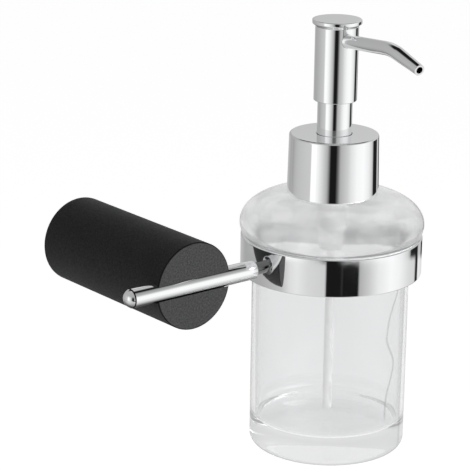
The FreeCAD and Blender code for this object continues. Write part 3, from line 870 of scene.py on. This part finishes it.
class SOAP_OT_barrel(bpy.types.Operator):
    """Add the milky pump barrel and the dip tube below it"""

    bl_idname = "soap.add_barrel"
    bl_label = "Pump Barrel"

    def execute(self, context):
        low, high = low_z("pump_housing"), high_z("pump_housing")
        flange = half_width("pump_housing")
        wide, narrow, bore = 6.2 * MM, 5.2 * MM, 4.6 * MM
        step = low + 13.5 * MM
        valve, valve_foot = 2.35 * MM, low + 9 * MM
        inlet, inlet_top, socket_top = 1 * MM, low + 7.6 * MM, low + 6 * MM
        gasket_top = high_z("neck_gasket")
        socket = half_width("dip_tube") + 0.05 * MM
        barrel = turned("pump_barrel_milky", [
            (bore, high), (bore, step + 1 * MM), (valve, step + 1 * MM), (valve, valve_foot),
            (inlet, inlet_top), (inlet, socket_top), (socket, socket_top), (socket, low),
            (narrow - 1.2 * MM, low, 0.3 * MM), (narrow, low + 1.8 * MM, 0.4 * MM),
            (narrow, step - 0.6 * MM, 0.3 * MM), (wide, step + 0.4 * MM, 0.3 * MM),
            (wide, gasket_top), (flange, gasket_top, 0.3 * MM), (flange, high, 0.3 * MM),
            (bore, high),
        ], sides=INNER_SIDES)
        settle(barrel, BOTTLE_AXIS)
        finish_piece(barrel, "pump_core", "pump_housing", milky_plastic())

        outer, inner = half_width("dip_tube"), 1.4 * MM
        foot, top = low_z("dip_tube"), high_z("dip_tube")
        tube = turned("dip_tube_milky", [
            (inner, foot), (outer, foot, 0.1 * MM), (outer, top, 0.1 * MM), (inner, top),
            (inner, foot),
        ], sides=TUBE_SIDES)
        settle(tube, BOTTLE_AXIS)
        # The dip tube's strong glow is painted light that keeps it pale inside the glass.
        finish_piece(tube, "pump_core", "dip_tube",
                     milky_plastic("tube_plastic", 0.26, 0.515))
        return {"FINISHED"}


class SOAP_OT_collar(bpy.types.Operator):
    """Add the chrome collar and the guide sleeve that stands in it"""

    bl_idname = "soap.add_collar"
    bl_label = "Collar"

    def execute(self, context):
        sizes = context.scene.soap_pump
        low, high = low_z("collar_shell"), high_z("collar_shell")
        foot_radius = half_width("collar_shell")
        top_radius = foot_radius - 0.5 * MM
        inner, plate = 17.6 * MM, 1.5 * MM
        gap = sizes.sleeve_radius + 0.35 * MM
        collar = turned("collar_chrome", [
            (inner, low, 0.15 * MM), (foot_radius, low, 0.3 * MM),
            (top_radius, high, sizes.collar_edge), (gap, high, 0.2 * MM), (gap, high - plate),
            (inner, high - plate), (inner, low),
        ])
        settle(collar, BOTTLE_AXIS)
        finish_piece(collar, "collar", "collar_shell", chrome())

        base, top = low_z("guide_sleeve"), high_z("guide_sleeve")
        flange = half_width("guide_sleeve")
        sleeve_inner = sizes.sleeve_radius - 1.65 * MM
        sleeve = turned("guide_sleeve_chrome", [
            (sleeve_inner, base), (flange, base), (flange, high - plate),
            (sizes.sleeve_radius, high - plate), (sizes.sleeve_radius, top, 0.4 * MM),
            (sleeve_inner, top), (sleeve_inner, base),
        ])
        settle(sleeve, BOTTLE_AXIS)
        finish_piece(sleeve, "collar", "guide_sleeve", chrome())
        return {"FINISHED"}


SPOUT_AXIS_HEIGHT = 90.95 * MM  # where the spout's centre line would meet the head's axis


def spout_line(sizes):
    """Start of the spout's centre line on the head's axis, and its first and second direction."""
    start = BOTTLE_AXIS + Vector((0, 0, SPOUT_AXIS_HEIGHT))
    out = Vector((math.sin(sizes.spout_turn), -math.cos(sizes.spout_turn), 0))
    up = Vector((0, 0, 1))
    first = out * math.cos(sizes.spout_rise) + up * math.sin(sizes.spout_rise)
    second = out * math.cos(sizes.spout_drop) - up * math.sin(sizes.spout_drop)
    return start, first, second


class SOAP_OT_head(bpy.types.Operator):
    """Add the push-down head with its wider top and the hole for the spout"""

    bl_idname = "soap.add_head"
    bl_label = "Head"

    def execute(self, context):
        sizes = context.scene.soap_pump
        low, high = low_z("head_cap"), high_z("head_cap")
        radius, lip = sizes.head_radius, sizes.lip_radius
        bore, roof = radius - 1.4 * MM, high - 1.2 * MM
        lip_low = high - sizes.lip_height
        head = turned("head_cap_chrome", [
            (bore, low, 0.15 * MM), (radius, low, 0.25 * MM), (radius, high - 20 * MM),
            (radius, lip_low - 1 * MM, 0.3 * MM), (lip, lip_low, 0.25 * MM), (lip, high, 0.4 * MM),
            (lip * 0.85, high), (0, high),
        ])
        inside = turned("head_inside", [
            (0, low - 1 * MM), (bore, low - 1 * MM), (bore, roof), (0, roof),
        ])
        cap_open_rim(head)
        cut_with(head, inside)
        settle(head, BOTTLE_AXIS)
        start, first, _ = spout_line(sizes)
        drill(head, sizes.spout_radius + 0.05 * MM, 12 * MM, start + first * 9 * MM,
              first.to_track_quat("Z", "Y").to_euler())
        finish_piece(head, "head", "head_cap", chrome())
        return {"FINISHED"}


def cap_open_rim(piece):
    """Close the open lower rim of a turned piece with one face."""
    pick(piece)
    bpy.ops.object.mode_set(mode="EDIT")
    bpy.ops.mesh.select_mode(type="VERT")
    bpy.ops.mesh.select_all(action="DESELECT")
    bpy.ops.mesh.select_non_manifold()
    bpy.ops.mesh.edge_face_add()
    face_outwards()


class SOAP_OT_spout(bpy.types.Operator):
    """Add the bent spout by drawing a ring along its line, then back along its bore"""

    bl_idname = "soap.add_spout"
    bl_label = "Spout"

    def execute(self, context):
        sizes = context.scene.soap_pump
        origin, first, second = spout_line(sizes)
        start_run, corner_run, end_run, bend_radius = 3.4 * MM, 41.9 * MM, 20.2 * MM, 32 * MM
        corner = origin + first * corner_run
        half_turn = first.angle(second) / 2
        tangent = bend_radius * math.tan(half_turn)
        axis = first.cross(second).normalized()
        inward = (second - first).normalized()
        centre = corner + inward * (bend_radius / math.cos(half_turn))
        clear_selection()
        bpy.ops.mesh.primitive_circle_add(vertices=TUBE_SIDES, radius=sizes.spout_radius,
                                          location=origin + first * start_run,
                                          rotation=first.to_track_quat("Z", "Y").to_euler())
        spout = bpy.context.object
        spout.name = spout.data.name = "spout_chrome"
        bpy.ops.object.transform_apply(location=True, rotation=True, scale=True)
        bpy.ops.object.mode_set(mode="EDIT")
        bpy.ops.mesh.select_all(action="SELECT")
        run, tip_run = corner_run - tangent - start_run, end_run - tangent
        bend_steps, tip_steps = 14, 8
        push(first * run)
        bpy.ops.mesh.spin(steps=bend_steps, angle=-2 * half_turn, center=centre, axis=axis)
        ring_centre = corner + second * tangent
        thinning = (sizes.spout_radius - sizes.tip_radius) / tip_steps
        for k in range(tip_steps):
            ring_centre = ring_centre + second * (tip_run / tip_steps)
            push(second * (tip_run / tip_steps))
            shrink(sizes.spout_radius - k * thinning, sizes.spout_radius - (k + 1) * thinning,
                   ring_centre)
        edge = 0.12 * MM
        push(second * edge)
        ring_centre = ring_centre + second * edge
        shrink(sizes.tip_radius, sizes.tip_radius - edge, ring_centre)
        push(Vector((0, 0, 0)))
        shrink(sizes.tip_radius - edge, sizes.bore_radius, ring_centre)
        push(-second * (tip_run + edge))
        bpy.ops.mesh.spin(steps=bend_steps, angle=2 * half_turn, center=centre, axis=axis)
        push(-first * run)
        bpy.ops.mesh.select_all(action="DESELECT")
        bpy.ops.mesh.select_non_manifold()
        bpy.ops.mesh.bridge_edge_loops()
        face_outwards()
        finish_piece(spout, "head", "spout_tube", chrome())
        return {"FINISHED"}


class SOAP_OT_inner_parts(bpy.types.Operator):
    """Give the hidden pieces that stay as designed their finishes"""

    bl_idname = "soap.finish_inner_parts"
    bl_label = "Inner Parts"

    def execute(self, context):
        finishes = {
            "wall_bracket": cast_metal, "post_grub_screw": screw_steel,
            "rod_fixing_screw": screw_steel, "ring_screw": screw_steel,
            "neck_gasket": seal_rubber, "pump_closure": white_plastic,
            "inlet_ball": screw_steel, "collar_insert": white_plastic,
            "piston_seal": seal_rubber, "return_spring": screw_steel,
            "piston_rod": white_plastic, "head_insert": white_plastic,
        }
        for node, finish in finishes.items():
            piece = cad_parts[node]
            material = finish()
            for slot in piece.material_slots:
                slot.material = material
        return {"FINISHED"}


# ---------------------------------------------------------------- stage


class SoapStageSettings(bpy.types.PropertyGroup):
    """Camera and light."""

    camera_place: bpy.props.FloatVectorProperty(
        name="Camera place", description="Where the camera stands", size=3,
        default=(-0.5120, -0.7375, 0.2785), subtype="XYZ", unit="LENGTH")
    camera_azimuth: bpy.props.FloatProperty(
        name="Azimuth", description="Turn of the view, 0 looks straight at the wall",
        default=math.radians(-39.014), subtype="ANGLE", unit="ROTATION")
    camera_elevation: bpy.props.FloatProperty(
        name="Elevation", description="Height of the view above the horizon",
        default=math.radians(17.128), subtype="ANGLE", unit="ROTATION")
    camera_roll: bpy.props.FloatProperty(
        name="Roll", description="Tilt of the camera about its view",
        default=math.radians(0.811), subtype="ANGLE", unit="ROTATION")
    camera_lens: bpy.props.FloatProperty(
        name="Lens", description="Focal length", default=167.9, subtype="DISTANCE_CAMERA")
    floor_height: bpy.props.FloatProperty(
        name="Floor height", description="Height of the floor below the post's axis",
        default=-0.6, subtype="DISTANCE", unit="LENGTH")
    floor_width: bpy.props.FloatProperty(
        name="Floor width", description="Width of the floor sheet across the view",
        default=1.5, subtype="DISTANCE", unit="LENGTH")
    floor_depth: bpy.props.FloatProperty(
        name="Floor depth", description="Depth of the floor sheet along the view",
        default=5.0, subtype="DISTANCE", unit="LENGTH")
    floor_glow: bpy.props.FloatProperty(
        name="Floor glow", description="Light the floor sheet gives off from below",
        default=0.92)


class SOAP_OT_stage(bpy.types.Operator):
    """Set up the pale floor, the studio light and the camera"""

    bl_idname = "soap.set_stage"
    bl_label = "Stage"

    def execute(self, context):
        settings = context.scene.soap_stage
        add_floor(settings)
        studio_surround(settings.camera_azimuth)
        add_card()
        add_key_light()
        add_camera(settings)
        context.scene.view_settings.view_transform = "Standard"
        return {"FINISHED"}


# How far the floor's middle lies behind the bottle, and the sizes and places of card and lamp.
FLOOR_BACK = 1.2
CARD_PLACE = Vector((36 * MM, -29 * MM, 28 * MM))
CARD_LENGTH, CARD_HEIGHT = 118 * MM, 36 * MM
KEY_PLACE, KEY_AIM = Vector((0.35, -1.2, 0.25)), Vector((0.03, -0.07, 0))
KEY_SIZE, KEY_POWER = 1.2, 22


def add_floor(settings):
    """Pale floor sheet under and behind the object, turned with the view."""
    clear_selection()
    turn = settings.camera_azimuth
    middle = Vector((-math.sin(turn), math.cos(turn), 0)) * FLOOR_BACK + BOTTLE_AXIS
    middle.z = settings.floor_height
    bpy.ops.mesh.primitive_plane_add(size=1, location=middle, rotation=(0, 0, turn))
    floor = bpy.context.object
    floor.name = "studio_floor"
    floor.scale = (settings.floor_width, settings.floor_depth, 1)
    bpy.ops.object.transform_apply(location=True, rotation=True, scale=True)
    material, shader = new_material("pale_floor")
    dress(material, shader, {
        "Base Color": (*bpy.context.scene.soap_finishes.floor_tone, 1),
        "Roughness": 0.9,
        "Specular IOR Level": 0.0,
        "Emission Color": grey(1),
        "Emission Strength": settings.floor_glow,
    })
    floor.data.materials.append(material)
    floor.visible_glossy = False


def add_card():
    """Graded card between the post and the collar, which only shows in polished surfaces."""
    clear_selection()
    bpy.ops.mesh.primitive_plane_add(size=1, rotation=(math.radians(90), 0, math.radians(90)))
    card = bpy.context.object
    card.name = "studio_card"
    card.scale = (CARD_LENGTH, CARD_HEIGHT, 1)
    bpy.ops.object.transform_apply(location=True, rotation=True, scale=True)
    settle(card, CARD_PLACE)
    material, shader = new_material("studio_card")
    y = place_parts(material)[1]
    fade = spread(material, y, 0.62, 0.38, -80 * MM, 0)
    front = spread(material, y, 1.75, 1.0, -80.5 * MM, -79.5 * MM)
    side = material.node_tree.nodes.new("ShaderNodeNewGeometry")
    dress(material, shader, {
        "Base Color": grey(0),
        "Specular IOR Level": 0.0,
        "Emission Color": grey(1),
        "Emission Strength": product(material, fade, front),
        "Alpha": spread(material, side.outputs["Backfacing"], 1, 0, 0, 1),
    })
    card.data.materials.append(material)
    card.visible_camera = False
    card.visible_diffuse = False
    card.visible_transmission = False
    card.visible_shadow = False


# Brightness of the surround as (degrees from the camera, brightness), for each height of view.
UPPER_LIGHT = [
    (-180, 0.62), (-150, 0.46), (-141, 0.40), (-110, 0.46), (-68, 0.61), (-60, 1.08), (-50, 1.05),
    (-41, 0.95), (-33, 0.78), (-18, 0.46), (-13, 0.2), (-9.5, 0.01), (4.5, 0.01), (10, 0.16),
    (16, 0.46), (35, 0.66), (43, 0.81), (60, 1.0), (80, 1.05), (99, 0.9), (111, 0.68),
    (116, 0.45), (119, 0.015), (139, 0.015), (142, 0.55), (154, 0.6), (156, 0.012),
    (171, 0.012), (174, 0.6), (180, 0.62),
]
LEVEL_LIGHT = [
    (-180, 0.62), (-141, 0.40), (-100, 0.42), (-66, 0.55), (-55, 0.76), (-45, 0.83), (-31, 0.72),
    (-9, 0.66), (-7, 0.01), (11, 0.01), (12, 0.06), (13, 0.01), (33, 0.01), (34.5, 0.45),
    (47, 0.62), (61, 0.87), (80, 1.02), (94, 0.96), (115, 0.75), (130, 0.7), (134, 0.015),
    (140, 0.015), (143, 0.9), (180, 0.62),
]
TABLE_LIGHT = [
    (-180, 0.14), (-120, 0.3), (-60, 0.7), (0, 0.6), (88, 0.85), (118, 0.5), (155, 0.22),
    (180, 0.14),
]
SLOPE_LIGHT = [
    (-180, 0.5), (-174, 0.42), (-165, 0.44), (-141, 0.42), (-110, 0.46), (-68, 0.61),
    (-60, 1.08), (-50, 1.05), (-41, 0.95), (-33, 0.78), (-18, 0.46), (-13, 0.2), (-9.5, 0.01),
    (4.5, 0.01), (10, 0.16), (16, 0.46), (35, 0.66), (43, 0.81), (60, 1.0), (80, 1.05),
    (99, 0.9), (111, 0.68), (140, 0.6), (172, 0.62), (180, 0.5),
]
RISING_LIGHT = [
    (-180, 0.75), (-176, 0.7), (-173, 0.42), (-110, 0.45), (60, 0.42), (94, 0.42), (120, 0.5),
    (159, 0.62), (172, 0.62), (176, 0.7), (180, 0.75),
]
TOP_LIGHT = [
    (-180, 0.01), (-129, 0.01), (-122, 0.2), (-112, 0.46), (-60, 0.45), (60, 0.4), (92, 0.32),
    (98, 0.14), (104, 0.01), (128, 0.01), (135, 0.25), (142, 0.4), (159, 0.6),
    (167, 0.5), (172, 0.03), (180, 0.01),
]

# Each band of light over the upper one: its stops, where it starts and is full along the
# direction's Z, and whether it starts and ends softly.
LIGHT_BANDS = [
    (LEVEL_LIGHT, -0.300, -0.303, False), (TABLE_LIGHT, -0.36, -0.48, False),
    (SLOPE_LIGHT, -0.12, -0.02, False), (RISING_LIGHT, 0.1, 0.55, True),
    (TOP_LIGHT, 0.58, 0.72, True),
]
DIFFUSE_LIGHT, GLASS_LIGHT, GLASS_SHARE = 0.13, 0.82, 0.93


def direction_light(world, share, stops):
    """Light of the surround round the horizon."""
    return ramp(world, share, [((degrees + 180) / 360, grey(value)) for degrees, value in stops])


def studio_surround(camera_azimuth):
    """World of soft boxes: brightness by compass direction from the camera's side."""
    world = bpy.data.worlds.new("studio")
    bpy.context.scene.world = world
    world.use_nodes = True
    x, y, z = place_parts(world, "Generated")
    heading = arithmetic(world, "ARCTAN2", x, product(world, y, -1))
    heading = arithmetic(world, "SUBTRACT", heading, camera_azimuth)
    heading = arithmetic(world, "WRAP", heading, math.pi, -math.pi)
    share = spread(world, heading, 0, 1, -math.pi, math.pi)
    light = direction_light(world, share, UPPER_LIGHT)
    for stops, start, full, smooth in LIGHT_BANDS:
        band = spread(world, z, 0, 1, start, full, smooth)
        light = mixed(world, band, light, direction_light(world, share, stops))
    rays = world.node_tree.nodes.new("ShaderNodeLightPath")
    through = product(world, rays.outputs["Is Transmission Ray"], GLASS_SHARE)
    light = mixed(world, rays.outputs["Is Camera Ray"], light, grey(1))
    light = mixed(world, rays.outputs["Is Diffuse Ray"], light, grey(DIFFUSE_LIGHT))
    light = mixed(world, through, light, grey(GLASS_LIGHT))
    dress(world, world.node_tree.nodes["Background"], {"Color": light, "Strength": 1.0})


def add_key_light():
    """Large soft light over the front right of the object."""
    clear_selection()
    bpy.ops.object.light_add(type="AREA", location=KEY_PLACE)
    light = bpy.context.object
    light.name = "soft_key"
    light.data.shape = "DISK"
    light.data.size = KEY_SIZE
    light.data.energy = KEY_POWER
    light.rotation_euler = (KEY_AIM - KEY_PLACE).to_track_quat("-Z", "Y").to_euler()
    light.visible_glossy = False


def add_camera(settings):
    """Camera with its own turn, tilt and roll."""
    turn, lift, roll = settings.camera_azimuth, settings.camera_elevation, settings.camera_roll
    right = Vector((math.cos(turn), math.sin(turn), 0))
    back = Vector((math.sin(turn) * math.cos(lift), -math.cos(turn) * math.cos(lift),
                   math.sin(lift)))
    up = back.cross(right)
    tilted_right = right * math.cos(roll) + up * math.sin(roll)
    tilted_up = up * math.cos(roll) - right * math.sin(roll)
    clear_selection()
    bpy.ops.object.camera_add()
    camera = bpy.context.object
    camera.name = "view_camera"
    camera.matrix_world = Matrix((
        (tilted_right.x, tilted_up.x, back.x, settings.camera_place[0]),
        (tilted_right.y, tilted_up.y, back.y, settings.camera_place[1]),
        (tilted_right.z, tilted_up.z, back.z, settings.camera_place[2]),
        (0, 0, 0, 1)))
    camera.data.sensor_width = 36
    camera.data.lens = settings.camera_lens
    camera.data.clip_end = 50
    bpy.context.scene.camera = camera


# ---------------------------------------------------------------- panel and registration


GROUPS = {
    "soap_holder": SoapHolderSizes, "soap_bottle": SoapBottleSizes, "soap_pump": SoapPumpSizes,
    "soap_finishes": SoapFinishes, "soap_stage": SoapStageSettings,
}
OPERATORS = [
    SOAP_OT_post, SOAP_OT_rod, SOAP_OT_ring, SOAP_OT_bottle, SOAP_OT_barrel, SOAP_OT_collar,
    SOAP_OT_head, SOAP_OT_spout, SOAP_OT_inner_parts, SOAP_OT_stage,
]


class SOAP_PT_panel(bpy.types.Panel):
    """Sizes, colours and pieces of the soap dispenser"""

    bl_label = "Soap Dispenser"
    bl_idname = "SOAP_PT_panel"
    bl_space_type = "VIEW_3D"
    bl_region_type = "UI"
    bl_category = "Soap Dispenser"

    def draw(self, context):
        for group in GROUPS:
            settings = getattr(context.scene, group)
            box = self.layout.box()
            for key in settings.bl_rna.properties.keys():
                if key not in ("rna_type", "name"):
                    box.prop(settings, key)
        for operator in OPERATORS:
            self.layout.operator(operator.bl_idname)


def register():
    for group in GROUPS.values():
        bpy.utils.register_class(group)
    for name, group in GROUPS.items():
        setattr(bpy.types.Scene, name, bpy.props.PointerProperty(type=group))
    for operator in OPERATORS:
        bpy.utils.register_class(operator)
    bpy.utils.register_class(SOAP_PT_panel)


def unregister():
    bpy.utils.unregister_class(SOAP_PT_panel)
    for operator in reversed(OPERATORS):
        bpy.utils.unregister_class(operator)
    for name, group in GROUPS.items():
        delattr(bpy.types.Scene, name)
        bpy.utils.unregister_class(group)


def main():
    register()
    bpy.ops.soap.add_post()
    bpy.ops.soap.add_rod()
    bpy.ops.soap.add_ring()
    bpy.ops.soap.add_bottle()
    bpy.ops.soap.add_barrel()
    bpy.ops.soap.add_collar()
    bpy.ops.soap.add_head()
    bpy.ops.soap.add_spout()
    bpy.ops.soap.finish_inner_parts()
    bpy.ops.soap.set_stage()


if __name__ == "__main__":
    main()
